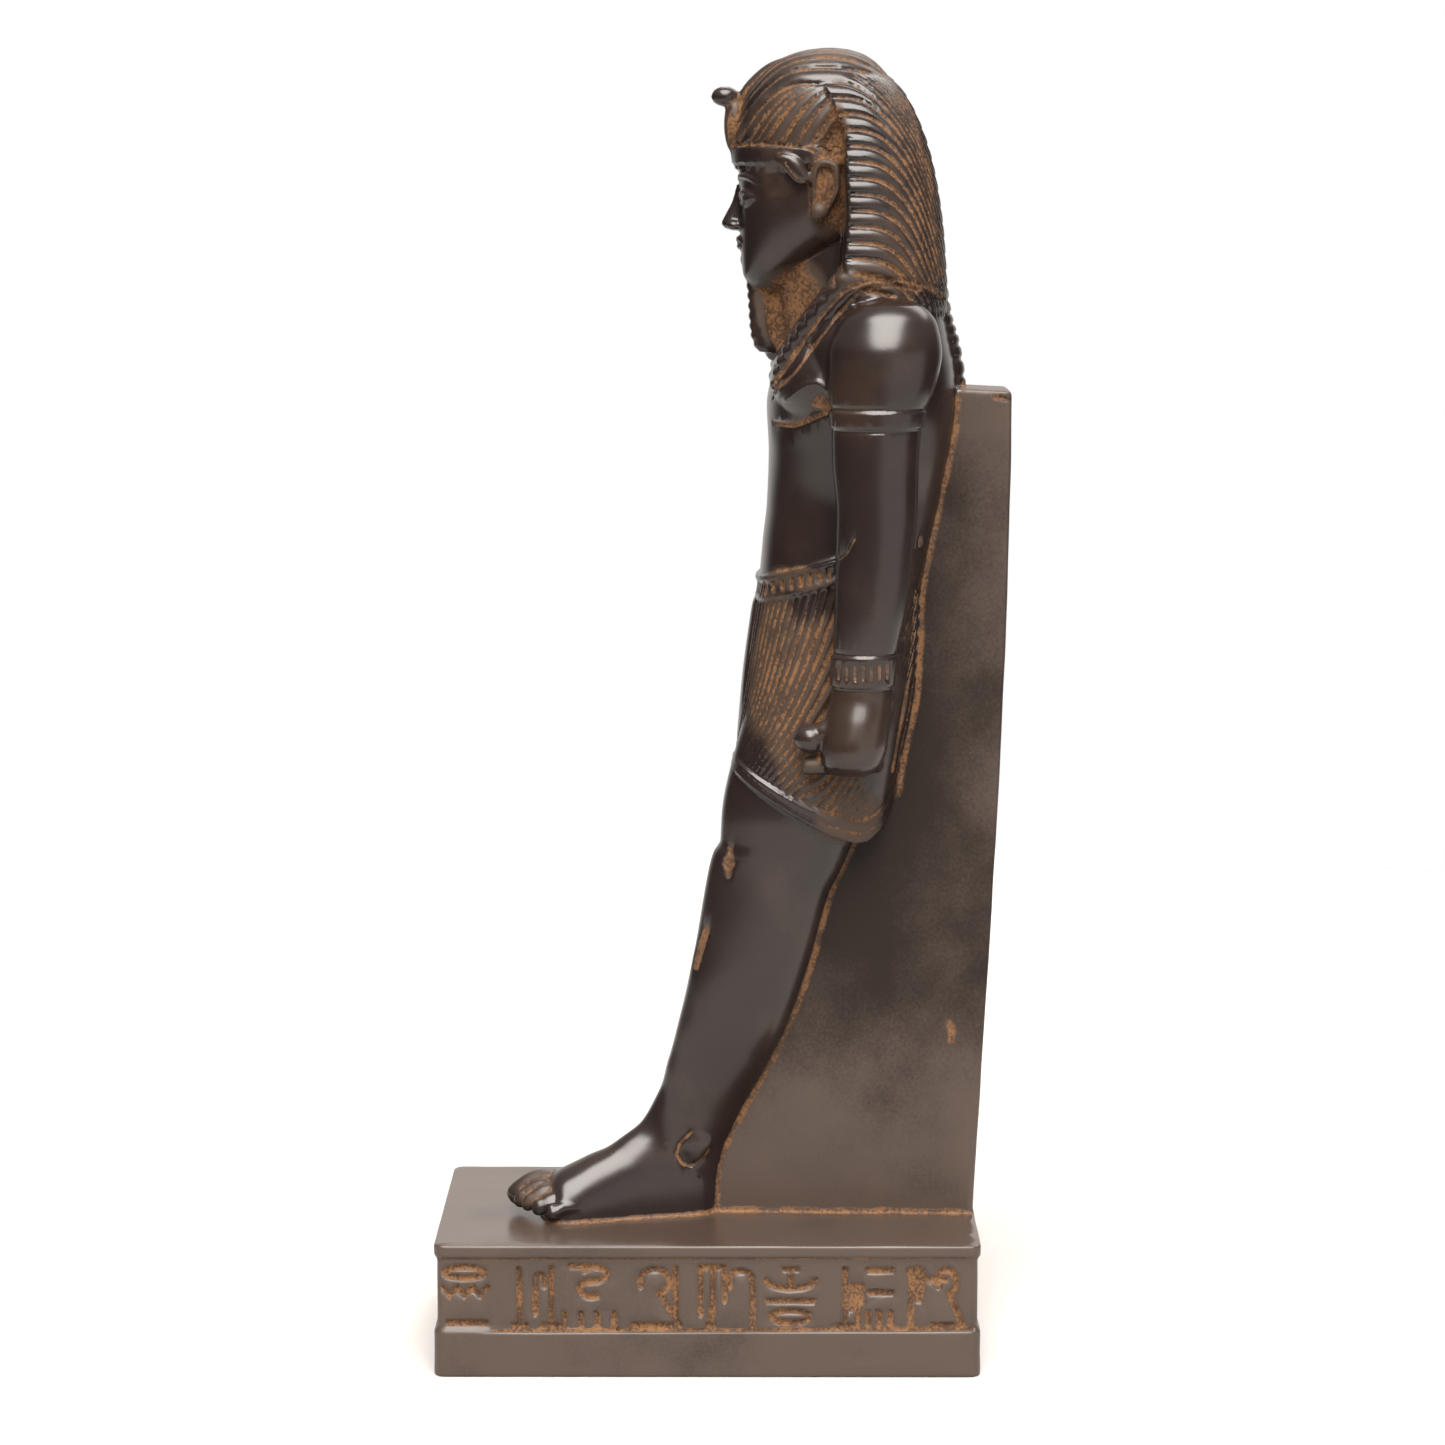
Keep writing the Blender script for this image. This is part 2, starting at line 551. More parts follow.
def capPhase(x, y, z):
    # the stripes curve up from the brow band to the crest, and run along the crest to the back
    table = np.array(cloth["cap"])
    first, reach, rise = cloth["arch"]
    low = cloth["bandTop"]
    start = y - reach * (1 - np.sqrt(np.clip(1 - (z - low) / rise, 0, 1)))
    level = low + rise * (1 - (1 - np.clip((y - first) / reach, 0, 1)) ** 2)
    front, back, half = (smoothTable(level, table[:, 0], table[:, k]) for k in (1, 2, 4))
    share = np.clip(1 - ((y - (front + back) / 2) / ((back - front) / 2)) ** 2, 0.02, 1)
    edge = half * np.sqrt(share)
    crest = np.abs(x) < edge
    aside = smoothTable(start, cloth["stripeStarts"], np.arange(len(cloth["stripeStarts"])))
    return np.where(crest, -cloth["crestStripes"] * (1 - np.abs(x) / edge), aside)


def capRelief(x, y, z):
    phase = capPhase(x, y, z)
    return 0.3 * (crown(phase) - 1) - 0.5 * grooves(phase, cloth["stripePitch"], 0.6)


def hoodPhase(z, share):
    # share goes from the cloth's front edge to the middle of its back
    return (z - cloth["firstRidge"] + cloth["droop"] * share ** cloth["hang"]) / cloth["pitch"]


def stripeBrown(x, y, z):
    # the brown left between the stripes of the head cloth
    level = np.clip(z, cloth["heights"][0], cloth["heights"][-1])
    near, far = (smoothTable(level, cloth["heights"], cloth[k]) for k in ("edge", "rear"))
    share = np.clip((y - near) / (far - near), 0, 1)
    behind = grooves(hoodPhase(z, share), cloth["pitch"], 0.85 + 0.65 * share)
    top = cloth["heights"][-1]
    behind = behind * step(y, near + 0.3, near + 1.0) * step(z, 176.0, 178.5) * (z < top)
    above = grooves(capPhase(x, y, z), cloth["stripePitch"], 1.0) * step(z, 206.0, 206.8)
    return cloth["brown"] * np.maximum(behind, above * ((y < near + 0.3) | (z > top)))


def hood():
    def place(turn, height):
        z = cloth["heights"][0] + height * (cloth["heights"][-1] - cloth["heights"][0])
        near, far, wide = (smoothTable(z, cloth["heights"], cloth[k]) for k in ("edge", "rear", "half"))
        behind = np.cos(turn) < 0
        share = np.where(behind, np.abs(np.cos(turn)) ** 0.8, 0.0)
        phase = hoodPhase(z, share)
        cut = grooves(phase, cloth["pitch"], cloth["grooveWidth"])
        lift = 0.3 * (crown(phase) - 1) - cloth["grooveDepth"] * cut
        power = np.where(behind, 0.8, 0.5)
        x = (wide + lift) * signedPower(np.sin(turn), power)
        deep = np.where(behind, far - near + lift, 0.9)
        return np.stack([x, near - deep * signedPower(np.cos(turn), power), z], axis=1)

    return tube("hood", 560, 260, place)


def headCloth():
    def tailRelief(turn, height):
        return -0.5 * grooves(height * 9 + 0.25 * np.abs(np.sin(turn)), 2.4, 0.7)

    def stripes(turn, height):
        # deep across the lappet's front and inner edge, faint on its outer face
        phase = height * 33 / cloth["lappetPitch"]
        cut = 0.4 * (crown(phase) - 1) - 0.5 * grooves(phase, cloth["lappetPitch"], 0.6)
        return cut * (0.2 + 0.8 * step(np.cos(turn), 0.1, 0.8))

    made = [
        levels("cap", cloth["cap"], sides=520, rows=200, relief=capRelief),
        levels("browBand", cloth["band"], sides=160, rows=20),
        hood(),
        strand("tail", cloth["tail"], (1, 0, 0), (5.0, 4.6, 4.4, 4.0), (2.2, 2.2, 2.4, 2.4), sides=60,
               rows=120, blunt=12, relief=tailRelief),
    ]
    for mirror in (False, True):
        wide, deep = (6.4, 6.2, 5.9, 5.5, 5.1, 4.8), (3.6, 3.4, 3.0, 2.7, 2.4, 2.2)
        made.append(strand("lappet", cloth["lappet"], (1, 0, 0), wide, deep, sides=100, rows=220,
                           relief=stripes, blunt=12, square=0.5, mirror=mirror))
        made.append(strand("temple", cloth["temple"], (0, 0, 1), (1.6, 1.8, 1.7, 1.4), (0.8,) * 4,
                           mirror=mirror))
    return made


cobra = {
    "body": [(0, 7.4, 203.4), (0, 5.6, 206.4), (0, 5.2, 209.6), (0, 5.2, 212.6), (0, 5.0, 215.0)],
    "widths": (2.2, 2.9, 2.7, 2.2, 2.0),
    "depths": (1.8, 2.2, 2.2, 2.1, 2.0),
    "head": ((0, 3.3, 215.1), (1.9, 2.7, 1.95)),
    "tail": [(0, 6.0, 214.4), (0, 8.4, 217.4), (0, 12.0, 220.7), (0, 17.0, 222.9)],
}


def rearingCobra():
    return [
        strand("cobra", cobra["body"], (1, 0, 0), cobra["widths"], cobra["depths"], rows=70),
        ball("cobraHead", *cobra["head"]),
        strand("cobraTail", cobra["tail"], (1, 0, 0), (1.7, 1.4, 1.1, 0.6), (1.3, 1.1, 0.9, 0.5)),
    ]


block = {
    "size": (60.0, 104.0, 25.8),
    "topCourse": 2.4,
    "footCourse": 8.9,
    "recess": 0.6,
    "corner": 2.2,
    "edge": 0.5,
    "slabFront": -1.4,
    "slabRear": 51.7,
    "slabWidths": (10.4, 13.8),
    "slabHeight": 161.2,
    "slabLean": 6.0,
    "slabFall": 1.0,
    "slabEdge": 1.1,
    # the slab's front outline below its top, hidden in the figure
    "hiddenTop": 36.0,
    "hidden": [(36.0, 150.0), (30.0, 100.0), (20.0, 78.0), (14.0, 60.0), (6.0, 40.0), (-1.0, 20.0),
               (-1.4, 4.0), (-1.4, -1.2)],
}


def slabWidth(y):
    narrow, wide = block["slabWidths"]
    front, rear = block["slabFront"], block["slabRear"]
    return narrow + (wide - narrow) * np.clip((y - front) / (rear - front), 0, 1)


def slabLean(rise):
    # how far the slab's rear edge curves back at a share of its height
    return block["slabLean"] * np.sin(np.pi / 2 * np.clip(rise, 0, 1)) ** 1.1


def plinth():
    width, length, height = block["size"]
    low, high = block["footCourse"] - height, -block["topCourse"]
    bm = bmesh.new()
    bmesh.ops.create_cube(bm, size=1)
    bmesh.ops.scale(bm, verts=bm.verts, vec=(width, length, height))
    bmesh.ops.translate(bm, verts=bm.verts, vec=(0, 0, -height / 2))
    corners = [e for e in bm.edges if abs(e.verts[0].co.z - e.verts[1].co.z) > height / 2]
    bmesh.ops.bevel(bm, geom=corners, offset=block["corner"], segments=6, profile=0.5, material=-1,
                    affect="EDGES")
    for cut in (low, high):
        bmesh.ops.bisect_plane(bm, geom=bm.verts[:] + bm.edges[:] + bm.faces[:], plane_co=(0, 0, cut),
                               plane_no=(0, 0, 1))
    band = [f for f in bm.faces if abs(f.normal.z) < 0.5 and low < f.calc_center_median().z < high]
    bmesh.ops.inset_region(bm, faces=band, thickness=block["edge"], depth=-block["recess"])
    made = meshObject("plinth", bm)
    worn = made.modifiers.new("worn", "BEVEL")
    worn.width = block["edge"]
    worn.segments = 3
    worn.limit_method = "ANGLE"
    return made


def slab():
    rear, top = block["slabRear"], block["slabHeight"]
    outline = [(rear, -1.2)]
    for k in range(17):
        outline.append((rear + slabLean(k / 16), (top - block["slabFall"]) * k / 16))
    outline += [(block["hiddenTop"], top)] + block["hidden"]
    bm = bmesh.new()
    start = bm.faces.new([bm.verts.new((-0.5, y, z)) for y, z in outline])
    swept = bmesh.ops.extrude_face_region(bm, geom=[start])
    moved = [v for v in swept["geom"] if isinstance(v, bmesh.types.BMVert)]
    bmesh.ops.translate(bm, verts=moved, vec=(1, 0, 0))
    for vert in bm.verts:
        vert.co.x *= slabWidth(vert.co.y)
    bmesh.ops.recalc_face_normals(bm, faces=bm.faces)
    flank = [e for e in bm.edges if abs(e.verts[0].co.x - e.verts[1].co.x) < 1]
    rounded = [e for e in flank if all(v.co.y > rear - 1 for v in e.verts)]
    rounded += [e for e in bm.edges if all(v.co.z > top - 2 for v in e.verts)]
    bmesh.ops.bevel(bm, geom=list(set(rounded)), offset=block["slabEdge"], segments=4, profile=0.5,
                    material=-1, affect="EDGES")
    return meshObject("slab", bm)


def settled(made, name):
    # the object with its modifiers applied
    graph = bpy.context.evaluated_depsgraph_get()
    mesh = bpy.data.meshes.new_from_object(made.evaluated_get(graph))
    bpy.data.objects.remove(made)
    fresh = bpy.data.objects.new(name, mesh)
    bpy.context.scene.collection.objects.link(fresh)
    bpy.context.view_layer.update()
    return fresh


def joined(name, pieces):
    bm = bmesh.new()
    for piece in pieces:
        bm.from_mesh(piece.data)
        bpy.data.objects.remove(piece)
    mesh = bpy.data.meshes.new(name)
    bm.to_mesh(mesh)
    bm.free()
    made = bpy.data.objects.new(name, mesh)
    bpy.context.scene.collection.objects.link(made)
    return made


def oneSkin():
    pieces = torsoAndNeck() + arm(False) + arm(True) + [kilt()] + beltAndApron()
    pieces += leg("left", False) + leg("right", True)
    pieces += head() + headCloth() + rearingCobra() + [settled(plinth(), "plinth"), slab()]
    print("forms made:", len(pieces))
    made = joined("pharaohStatue", pieces)
    remesh = made.modifiers.new("oneSkin", "REMESH")
    remesh.mode = "VOXEL"
    remesh.voxel_size = skin["grain"]
    soften = made.modifiers.new("soften", "SMOOTH")
    soften.factor = 0.5
    soften.iterations = skin["smoothing"]
    made = settled(made, "pharaohStatue")
    print("one skin:", len(made.data.vertices), "points")
    return made


def spread(field, edges, count, rounds):
    # averages a field over the skin's neighbouring points
    a, b = edges[:, 0], edges[:, 1]
    links = np.bincount(a, minlength=count) + np.bincount(b, minlength=count)
    links = np.maximum(links, 1)
    field = field.copy()
    for _ in range(rounds):
        for k in range(field.shape[1]):
            total = np.bincount(a, field[b, k], count) + np.bincount(b, field[a, k], count)
            field[:, k] = 0.5 * field[:, k] + 0.5 * total / links
    return field


def blobField(co, centre, radii):
    away = np.sqrt((((co - np.array(centre)) / np.array(radii)) ** 2).sum(axis=1))
    return step(away, 1.0, 0.55)


easing = {
    "rounds": 460,
    # centre and radii of the places where two forms run into each other softly
    "places": [
        ((4.0, -13.0, 17.5), (14.0, 12.0, 15.0)),
        ((-8.0, 20.0, 18.5), (13.0, 10.0, 14.0)),
    ],
    "wobble": 0.07,  # unevenness of the polished casting
}


def easeJoints(made):
    mesh = made.data
    co = gathered(mesh.vertices, "co", 3)
    edges = gathered(mesh.edges, "vertices", 2, np.int64)
    for centre, radii in easing["places"]:
        share = blobField(co, centre, radii)
        index = np.nonzero(share > 0)[0]
        slot = np.zeros(len(co), dtype=np.int64)
        slot[index] = np.arange(len(index))
        local = slot[edges[(share[edges] > 0).all(axis=1)]]
        soft = spread(co[index], local, len(index), easing["rounds"])
        co[index] += (soft - co[index]) * share[index][:, None]
    mesh.vertices.foreach_set("co", co.ravel())
    mesh.update()


carving = {
    "strokeWidth": 1.05,
    "strokeDepth": 0.7,
    "bandBottom": -16.2,
    "bandTop": -3.0,
    # width and depth of the lines below and above the marks
    "groundLine": (0.55, 0.5),
    "topLine": (0.4, 0.25),
    "frontSpan": (-60, -45),  # the front's marks lie between these places of y
    "frontHalf": 24,  # the front takes the marks that stand no further from the middle
}


class Carver:
    # cuts lines into the skin along its normals, and remembers where the patina settles
    def __init__(self, mesh):
        self.mesh = mesh
        self.co = gathered(mesh.vertices, "co", 3)
        self.normal = gathered(mesh.vertices, "normal", 3)
        self.move = np.zeros(len(self.co))
        self.rub = np.zeros(len(self.co))

    def line(self, path, width, depth, plane, facing, low=-100.0, high=300.0, rub=1.0):
        # plane names the two axes the path is drawn in; low and high bound the third
        path = np.array(path, float)
        a, b = plane
        c = 3 - a - b
        lowest, highest = path.min(axis=0) - width, path.max(axis=0) + width
        near = (self.co[:, a] > lowest[0]) & (self.co[:, a] < highest[0])
        near &= (self.co[:, b] > lowest[1]) & (self.co[:, b] < highest[1])
        near &= (self.co[:, c] > low) & (self.co[:, c] < high) & (self.normal[:, c] * facing > 0.25)
        index = np.nonzero(near)[0]
        if not len(index):
            return
        at = self.co[index][:, [a, b]]
        away = np.full(len(index), 1e9)
        for start, end in zip(path[:-1], path[1:]):
            run = end - start
            t = np.clip(((at - start) @ run) / max(run @ run, 1e-9), 0, 1)
            away = np.minimum(away, np.linalg.norm(at - start - t[:, None] * run, axis=1))
        cut = 0.5 + 0.5 * np.cos(np.pi * np.clip(away / width, 0, 1))
        raised = self.move[index] - depth * cut
        self.move[index] = np.minimum(self.move[index], -depth * cut) if depth > 0 else raised
        self.rub[index] = np.maximum(self.rub[index], rub * step(away, width * 1.05, width * 0.35))

    def patch(self, outline, depth, soft, low, high, rub=1.0):
        # sinks an area drawn in the side view, on both sides of the figure
        outline = np.array(outline, float)
        middle = outline.mean(axis=0)
        near = (np.abs(self.co[:, 0]) > low) & (np.abs(self.co[:, 0]) < high)
        near &= (np.abs(self.co[:, 1:] - middle) < 12).all(axis=1)
        index = np.nonzero(near)[0]
        at = self.co[index][:, 1:]
        inside = np.full(len(index), 1e9)
        for start, end in zip(outline, np.roll(outline, -1, axis=0)):
            run = (end - start) / np.linalg.norm(end - start)
            inward = np.array([-run[1], run[0]])
            inward = inward * np.sign((middle - start) @ inward)
            inside = np.minimum(inside, (at - start) @ inward)
        share = step(inside, 0.0, soft)
        self.move[index] = self.move[index] - depth * share
        self.rub[index] = np.maximum(self.rub[index], rub * step(inside, -0.3, soft))

    def wobble(self, depth):
        # the slight unevenness of a polished casting, always inwards, with the underside left flat
        x, y, z = self.co.T
        waves = np.sin(0.31 * x + 0.23 * y + 0.19 * z) + np.sin(0.27 * y - 0.21 * z + 1.7)
        waves += np.sin(0.52 * z + 0.37 * x - 0.19 * y + 0.6) * 0.6 + np.sin(0.61 * y + 0.33 * z + 2.9) * 0.5
        most = 3.1  # the heights of the four waves together
        self.move -= depth * (most + waves) / most * step(z, 1.5 - plinthTop, 5.0 - plinthTop)

    def apply(self):
        self.co += self.normal * self.move[:, None]
        self.mesh.vertices.foreach_set("co", self.co.ravel())
        self.mesh.update()


def arcPath(centre, radii, start, end, steps=14):
    angles = np.radians(np.linspace(start, end, steps))
    return [(centre[0] + radii[0] * math.cos(a), centre[1] + radii[1] * math.sin(a)) for a in angles]


def mark(kind, x, z, size):
    # one carved mark of the band, as paths in the band's own plane; none is a letter
    wide, tall = size
    left, right, top = x - wide / 2, x + wide / 2, z + tall
    if kind == "post":
        return [[(x, z), (x, top)], [(x - wide * 0.4, z), (x + wide * 0.4, z)]]
    if kind == "hook":
        shoulder = z + tall * 0.8
        return [[(x, z), (x, shoulder)], arcPath((right, shoulder), (wide / 2, tall * 0.2), 180, -30)]
    if kind == "crook":
        bow = arcPath((x, z + tall * 0.75), (wide * 0.35, tall * 0.22), 200, -60)
        foot = (x + wide * 0.6, z)
        return [bow, [(x + wide * 0.1, z + tall * 0.55), foot], [(left, z), foot]]
    if kind == "wave":
        return [[(x + wide * (k / 6 - 0.5), z + tall * (0.5 + 0.5 * (-1) ** k)) for k in range(7)]]
    if kind == "snake":
        turns = arcPath((x + wide * 0.2, z + tall * 0.78), (wide * 0.35, tall * 0.2), 150, -90)
        turns += arcPath((x + wide * 0.1, z + tall * 0.36), (wide * 0.35, tall * 0.22), 90, 300)
        return [turns, [(left, top), (x, top)]]
    if kind == "bowl":
        return [arcPath((x, top), (wide / 2, tall), 180, 360), [(x, z), (x, z + tall * 1.5)]]
    if kind == "dash":
        return [[(left, z), (right, z)]]
    if kind == "ticks":
        return [[(left + wide * k / 3, z), (left + wide * k / 3, top)] for k in range(4)]
    if kind == "gate":
        posts = [[(left, z), (left, top)], [(x, z), (x, top)], [(right, z + tall * 0.3), (right, top)]]
        return posts + [[(left, top), (right, top)]]
    return [arcPath((x, z + tall / 2), (wide / 2, tall / 2), 20, 340)]


# kind, place along the band, height above its ground line, width and height of each mark
bandMarks = [
    ("ring", -46.0, 9.6, 8.0, 2.2), ("wave", -46.0, 6.2, 8.6, 1.6), ("dash", -45.6, 0.9, 7.2, 0),
    ("post", -35.6, 0.3, 3.0, 11.0), ("hook", -32.6, 2.8, 1.8, 7.6), ("post", -29.6, 0.3, 4.2, 11.2),
    ("snake", -22.6, 5.0, 6.4, 7.0), ("ticks", -22.4, 0.5, 9.4, 2.2),
    ("crook", -10.0, 0.4, 8.0, 11.4), ("post", -6.0, 0.4, 1.4, 11.2),
    ("gate", 1.0, 2.6, 4.6, 9.2), ("post", 0.6, 0.3, 1.2, 3.0), ("hook", 8.6, 0.5, -4.6, 10.6),
    ("dash", 15.8, 11.4, 2.6, 0), ("bowl", 15.8, 7.6, 9.0, 1.6), ("dash", 15.8, 5.2, 8.6, 0),
    ("ring", 15.8, 0.9, 7.4, 2.4),
    ("post", 26.2, 0.3, 3.2, 11.0), ("gate", 28.4, 3.6, 1.8, 4.6), ("dash", 32.8, 11.2, 4.4, 0),
    ("dash", 33.0, 6.8, 4.0, 0), ("ticks", 31.6, 0.7, 6.2, 2.2),
    ("wave", 39.6, 5.4, 2.4, 5.8), ("hook", 38.6, 0.5, 2.4, 11.0),
    ("crook", 45.4, 0.5, 5.0, 11.2), ("dash", 43.4, 9.4, 3.6, 0),
]


def sided(side, low, high):
    # bounds of x on the left or, mirrored, on the right side
    return (low, high) if side > 0 else (-high, -low)


def carveBand(carver):
    ground, top = carving["bandBottom"], carving["bandTop"]
    width, depth = carving["strokeWidth"], carving["strokeDepth"]
    front = carving["frontSpan"]
    for side in (1, -1):
        span = sided(side, 0, 40)
        for kind, along, height, wide, tall in bandMarks:
            for path in mark(kind, along * side, ground + height, (wide * side, tall)):
                carver.line(path, width, depth, (1, 2), side, *span)
        low, high = [(-40.5, ground - 0.5), (50.5, ground - 0.1)], [(-51, top + 0.1), (51, top + 0.4)]
        carver.line(low, *carving["groundLine"], (1, 2), side, *span)
        carver.line(high, *carving["topLine"], (1, 2), side, *span, rub=0.7)
    for kind, along, height, wide, tall in bandMarks:
        if abs(along) < carving["frontHalf"]:
            for path in mark(kind, along, ground + height, (wide, tall)):
                carver.line(path, width, depth, (0, 2), -1, *front)
    carver.line([(-26, ground - 0.4), (26, ground - 0.4)], *carving["groundLine"], (0, 2), -1, *front)


sideMarks = {
    # lines drawn in the side view: path, width, depth, low and high of x, patina, on both sides
    "ankle": ([(-3.2, 16.7), (-5.5, 14.3), (-6.1, 12.0), (-4.9, 10.2), (-3.2, 9.7), (-0.9, 11.1),
               (0.3, 12.9)], 0.55, 0.45, 4, 14, 1.0, False),
    "elbow": ([(24.2, 129.8), (26.0, 131.4), (27.2, 134.0)], 0.6, 0.25, 22, 34, 0.5, True),
    "collar": ([(44.5, 177.7), (41.2, 180.0), (37.0, 181.2), (33.7, 181.4), (30.4, 181.2), (26.7, 180.2),
                (24.6, 178.5), (21.7, 175.2), (18.8, 171.5), (15.9, 166.9), (13.0, 162.8), (11.6, 159.9)],
               0.7, 0.35, 6, 30, 1.0, True),
    "collarBelow": ([(39.5, 179.4), (34.5, 180.4), (31.2, 180.0), (28.7, 179.4), (26.3, 177.3),
                     (23.4, 174.0), (20.1, 169.5), (16.8, 164.9), (13.0, 160.8), (12.0, 158.7)],
                    0.6, 0.35, 6, 30, 0.8, True),
    "breastRim": ([(12.6, 154.9), (13.4, 156.9), (14.9, 158.9), (16.8, 160.7), (18.6, 162.0),
                   (20.5, 162.4), (22.0, 161.3), (23.6, 158.8)], 1.1, -0.35, 6, 24, 0.0, True),
    "breastLine": ([(12.6, 154.0), (16.3, 154.1), (18.8, 155.2), (21.3, 156.4), (23.8, 157.8)],
                   0.8, 0.45, 6, 24, 1.0, True),
    "shin": ([(-0.2, 57.5), (-1.7, 52.6), (-2.4, 49.6)], 1.1, 0.3, -6, 14, 0.9, False),
    "browLine": ([(4.6, 205.9), (9.9, 206.5), (13.6, 206.2), (18.6, 205.6), (19.8, 204.8)],
                 0.55, 0.4, 0, 18, 1.0, True),
    "templeLine": ([(14.4, 203.0), (15.4, 201.2), (16.8, 199.6), (19.2, 198.9)], 0.5, 0.3, 8, 18, 0.8, True),
    "slabNotch": ([(58.4, 158.4), (54.8, 158.8)], 0.8, 0.5, -12, 12, 0.4, True),
    "slabScratch": ([(46.6, 34.0), (47.2, 36.4), (46.4, 38.4)], 0.4, 0.2, 2, 12, 0.4, False),
}
sidePatches = {
    # sunk areas of the side view: outline, depth, softness of the edge, low and high of x, patina
    "breastRecess": ([(18.8, 158.0), (20.4, 160.6), (21.9, 160.4), (23.8, 158.2), (21.3, 156.8)],
                     0.45, 0.8, 6, 24, 1.0),
    "temple": ([(19.6, 205.6), (22.4, 209.4), (25.2, 213.0), (26.2, 207.0), (26.2, 203.6), (23.0, 203.4)],
               0.7, 1.0, 8, 17, 1.0),
    "knee": ([(1.2, 73.4), (5.0, 74.4), (5.6, 70.6), (4.6, 67.0), (1.0, 66.8), (2.2, 70.2)],
             0.5, 0.9, 3, 18, 1.0),
}


ticks = {
    "halfWidth": 0.55,
    "depth": 0.45,
    # first place, end and pitch along a row, and the heights between which its ticks run
    "belt": ((10.6, 41.0, 1.75), (1.5, 3.2)),  # above the belt's lower edge
    "bracelet": ((24.4, 34.4, 1.55), (107.6, 110.2)),
    "front": ((-8.75, 9.0, 1.75), (121.4, 123.2)),
    # dark ridges of the kilt behind the forearm, drawn by the grooves between them
    "rearPleats": [(39.7, 122.0), (39.3, 113.0), (38.2, 104.0), (36.6, 95.0), (35.4, 88.0)],
    "rearPitch": 1.5,
    "rearCut": (0.6, 0.5),  # width and depth
}


def carveTicks(carver):
    half, depth = ticks["halfWidth"], ticks["depth"]
    for side in (1, -1):
        row, (low, high) = ticks["belt"]
        for y in np.arange(*row):
            path = [(y, beltLevel(y) + low), (y, beltLevel(y) + high)]
            carver.line(path, half, depth, (1, 2), side, *sided(side, 8, 22))
        for number in range(4):
            path = [(y + ticks["rearPitch"] * number, z) for y, z in ticks["rearPleats"]]
            carver.line(path, *ticks["rearCut"], (1, 2), side, *sided(side, 7.6, 22))
        row, (low, high) = ticks["bracelet"]
        for y in np.arange(*row):
            carver.line([(y, low), (y, high)], half * 0.9, depth, (1, 2), side, *sided(side, 20, 34))
    row, (low, high) = ticks["front"]
    for x in np.arange(*row):
        carver.line([(x, low), (x, high)], half, depth, (0, 2), -1, 4, 14)


def carveFigure(carver):
    for path, width, depth, low, high, rub, both in sideMarks.values():
        for side in (1, -1) if both else (1,):
            carver.line(path, width, depth, (1, 2), side, *sided(side, low, high), rub)
    for outline, depth, soft, low, high, rub in sidePatches.values():
        carver.patch(outline, depth, soft, low, high, rub)


patina = {
    "film": 0.3,  # thickness lent to the brown while the skin is thinned, so that its edges stay
    # width of the brown lines along the creases of slab and plinth
    "creaseSpread": 22,
    "fineDepth": 0.07,  # a fine crease of this depth is full of brown
    "broadDepth": 0.3,
    "weights": (0.5, 0.35, 0.8, 0.9, 0.42),  # of fine and broad creases, block creases, carving and places
    "clothBack": 0.5,  # strength on the back of the head cloth
    # centre, radii and strength of the other places that the brown was left on
    "places": [
        ((0, 17.5, 176.5), (11.5, 10.5, 12.5), 2.0),
        ((12, 22.8, 197.0), (7.0, 5.0, 13.0), 1.7),
        ((11, 23.6, 209.0), (8.0, 4.0, 6.0), 1.7),
        ((11, 14.0, 211.0), (9.0, 13.0, 9.0), 0.7),
        ((0, 7.0, 209.0), (7.0, 6.0, 9.0), 0.8),
        ((0, 20.0, 220.0), (12.0, 22.0, 9.0), 0.6),
        ((8, 13.0, 199.5), (8.0, 9.0, 5.0), 0.35),
        ((15, 32.0, 181.5), (14.0, 15.0, 5.0), 0.7),
        ((13, 20.5, 170.5), (8.0, 7.5, 9.5), 0.5),
        ((16, 22.0, 100.0), (10.0, 15.0, 24.0), 1.0),
        ((14, 12.0, 108.0), (13.0, 8.0, 20.0), 0.85),
        ((16, 38.5, 112.0), (10.0, 6.0, 26.0), 0.45),
        ((16, 27.0, 80.0), (10.0, 9.0, 8.0), 0.85),
        ((16, 15.0, 125.2), (10.0, 12.0, 3.4), 0.8),
        ((17, 17.0, 157.0), (9.0, 6.5, 4.0), 0.4),
        ((21, 19.6, 91.4), (5.0, 4.6, 3.6), 1.0),
        ((8, -33.0, 5.0), (9.0, 6.0, 6.0), 0.6),
    ],
}


def besideBlocks(co, normal):
    # whether each point lies on the slab, and whether it lies on the plinth
    aside, y, z = np.abs(co[:, 0]), co[:, 1], co[:, 2]
    half, top = slabWidth(y) / 2, block["slabHeight"]
    onSide = (np.abs(aside - half) < 0.45) & (np.abs(normal[:, 0]) > 0.985) & (y > block["slabFront"])
    onBack = (y > block["slabRear"] + slabLean(z / top) - 1.4) & (aside < half + 0.3)
    onTop = (z > top - 1.6) & (y > 48.5) & (aside < half + 0.3)
    onSlab = (onSide | onBack | onTop) & (z < top + 0.4)
    return onSlab.astype(float), (z < 0.14).astype(float)


